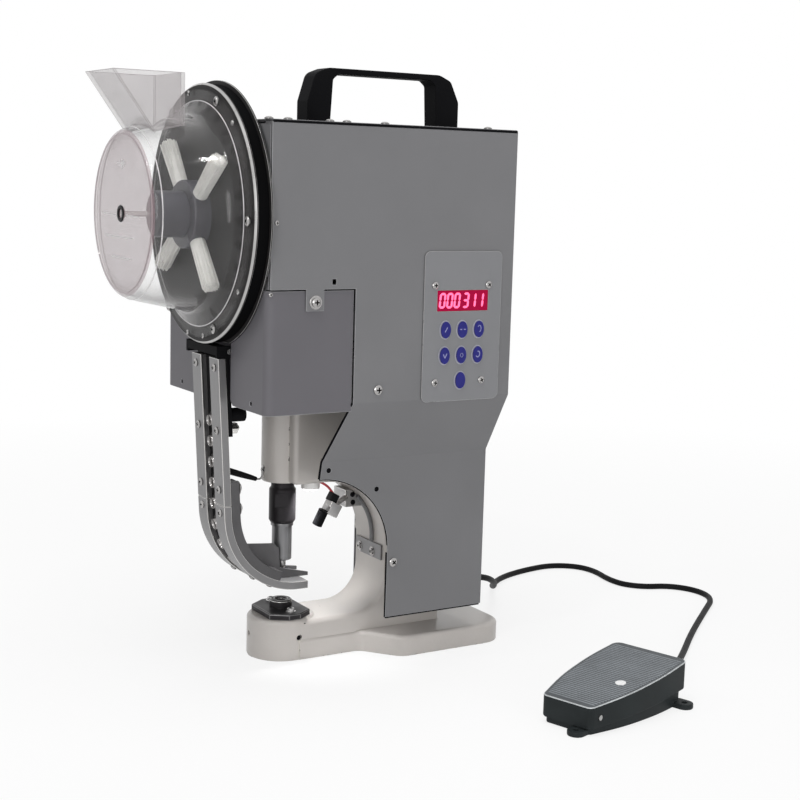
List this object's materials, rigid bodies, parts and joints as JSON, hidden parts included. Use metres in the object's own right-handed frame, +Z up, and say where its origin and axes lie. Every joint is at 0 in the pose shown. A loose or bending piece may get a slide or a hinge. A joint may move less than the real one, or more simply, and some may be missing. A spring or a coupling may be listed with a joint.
{
  "type": "eyelet machine",
  "caption": "Bench eyelet press with an iron C-frame, sheet housing, round brush hopper, curved feed chute, control panel and a corded foot pedal.",
  "frame": {"origin": "the ram's axis where it meets the plane the machine stands on", "axes": "+Z up; the throat, chute and hopper face -Y; the control panel is on the +X side"},
  "size_m": [0.4676, 0.7112, 0.5655],
  "materials": {
    "casting": "ivory enamel over cast iron",
    "housing": "grey hammered powder coat",
    "black_metal": "black powder coat",
    "dark_plate": "brushed, dark",
    "clear_plastic": "clear moulded plastic",
    "aluminium": "satin",
    "steel": "ground steel",
    "gunmetal": "blackened steel",
    "bronze": "sintered bronze",
    "bristle": "cream nylon bristle",
    "hub_plastic": "dark grey moulded plastic",
    "black_plastic": "black moulded plastic",
    "panel_grey": "satin grey panel, no lettering",
    "key_blue": "navy key caps",
    "display_red": "dark red window",
    "board": "green circuit board",
    "rubber": "black rubber",
    "motor_grey": "grey motor paint",
    "pedal_top": "grey ribbed moulding",
    "pedal_body": "dark moulding"
  },
  "bodies": {
    "machine": {"c_frame_casting": "casting", "ram_bushes": "bronze", "drive_frame": "motor_grey", "main_bearings": "steel", "side_cover_right": "housing", "side_cover_left": "housing", "rear_panel": "housing", "front_panel": "housing", "top_lid": "housing", "head_cover": "housing", "carry_handle": "black_plastic", "hopper_back_plate": "dark_plate", "hopper_ring": "black_plastic", "hopper_face_plate": "dark_plate", "hopper_bowl": "clear_plastic", "hopper_funnel": "clear_plastic", "hopper_motor": "motor_grey", "outlet_block": "black_metal", "chute_pivot_pin": "steel", "drive_belt": "rubber", "motor": "motor_grey", "die_plate": "gunmetal", "die": "steel", "lamp_bracket": "aluminium", "laser_pointer": "aluminium", "throat_lamp": "black_plastic", "control_plate": "panel_grey", "display_window": "display_red", "control_board": "board", "power_inlet": "black_plastic", "cable_gland": "black_plastic", "pedal_base": "pedal_body", "pedal_pin": "steel", "switch_cord": "rubber"},
    "ram": {"ram_shaft": "steel", "punch_holder": "gunmetal", "punch": "steel", "pilot_spring": "steel"},
    "pilot": {"pilot_pin": "steel"},
    "crank": {"crankshaft": "steel"},
    "flywheel": {"flywheel": "gunmetal"},
    "motor_rotor": {"motor_pulley": "aluminium"},
    "brush_wheel": {"brush_hub": "hub_plastic", "brushes": "bristle"},
    "chute": {"chute_rails_upper": "aluminium", "chute_rails_lower": "aluminium", "chute_floor": "gunmetal", "chute_hanger": "black_metal", "chute_joint_bracket": "gunmetal", "gate_fingers": "gunmetal", "return_spring": "rubber"},
    "rocker": {"switch_rocker": "black_plastic"},
    "pedal": {"pedal_plate": "pedal_top"},
    "key_1": {"key_1": "key_blue"},
    "key_2": {"key_2": "key_blue"},
    "key_3": {"key_3": "key_blue"},
    "key_4": {"key_4": "key_blue"},
    "key_5": {"key_5": "key_blue"},
    "key_6": {"key_6": "key_blue"},
    "key_7": {"key_7": "key_blue"}
  },
  "joints": [
    {"name": "ram_slide", "type": "slide", "parent": "machine", "child": "ram", "axis": [0, 0, -1], "range_m": [0, 0.038]},
    {"name": "crank_turn", "type": "hinge", "parent": "machine", "child": "crank", "pos_m": [0, 0.02, 0.296], "axis": [0, 1, 0], "range_deg": [0, 180.1]},
    {"name": "chute_swing", "type": "hinge", "parent": "machine", "child": "chute", "pos_m": [0, -0.074, 0.304], "axis": [-1, 0, 0], "range_deg": [0, 15.6]},
    {"name": "pilot_slide", "type": "slide", "parent": "ram", "child": "pilot", "axis": [0, 0, 1], "range_m": [0, 0.008], "stiffness_N_per_m": 400, "springref_m": -0.004, "deforming": ["pilot_spring"]},
    {"name": "flywheel_spin", "type": "hinge", "parent": "machine", "child": "flywheel", "pos_m": [0, 0.138, 0.296], "axis": [0, 1, 0], "continuous": true},
    {"name": "motor_spin", "type": "hinge", "parent": "machine", "child": "motor_rotor", "pos_m": [0, 0.138, 0.4], "axis": [0, 1, 0], "continuous": true},
    {"name": "brush_spin", "type": "hinge", "parent": "machine", "child": "brush_wheel", "pos_m": [0, -0.1, 0.427], "axis": [0, 1, 0], "continuous": true},
    {"name": "rocker_tilt", "type": "hinge", "parent": "machine", "child": "rocker", "pos_m": [-0.07, 0.183, 0.318], "axis": [1, 0, 0], "range_deg": [0, 12]},
    {"name": "pedal_press", "type": "hinge", "parent": "machine", "child": "pedal", "pos_m": [0.29715, 0.1334, 0.015], "axis": [-0.9556, -0.2948, 0], "range_deg": [0, 4], "stiffness_Nm_per_rad": 4, "springref_deg": -5.73},
    {"name": "key_1_press", "type": "slide", "parent": "machine", "child": "key_1", "axis": [-1, 0, 0], "range_m": [0, 0.0005], "stiffness_N_per_m": 800, "springref_m": -0.0006},
    {"name": "key_2_press", "type": "slide", "parent": "machine", "child": "key_2", "axis": [-1, 0, 0], "range_m": [0, 0.0005], "stiffness_N_per_m": 800, "springref_m": -0.0006},
    {"name": "key_3_press", "type": "slide", "parent": "machine", "child": "key_3", "axis": [-1, 0, 0], "range_m": [0, 0.0005], "stiffness_N_per_m": 800, "springref_m": -0.0006},
    {"name": "key_4_press", "type": "slide", "parent": "machine", "child": "key_4", "axis": [-1, 0, 0], "range_m": [0, 0.0005], "stiffness_N_per_m": 800, "springref_m": -0.0006},
    {"name": "key_5_press", "type": "slide", "parent": "machine", "child": "key_5", "axis": [-1, 0, 0], "range_m": [0, 0.0005], "stiffness_N_per_m": 800, "springref_m": -0.0006},
    {"name": "key_6_press", "type": "slide", "parent": "machine", "child": "key_6", "axis": [-1, 0, 0], "range_m": [0, 0.0005], "stiffness_N_per_m": 800, "springref_m": -0.0006},
    {"name": "key_7_press", "type": "slide", "parent": "machine", "child": "key_7", "axis": [-1, 0, 0], "range_m": [0, 0.0005], "stiffness_N_per_m": 800, "springref_m": -0.0006}
  ],
  "couplings": [
    {"joint": "crank_turn", "follows": "ram_slide", "rad_per_m": 82.674},
    {"joint": "chute_swing", "follows": "ram_slide", "rad_per_m": 7.12},
    {"joint": "motor_spin", "follows": "flywheel_spin", "ratio": 3.15}
  ]
}
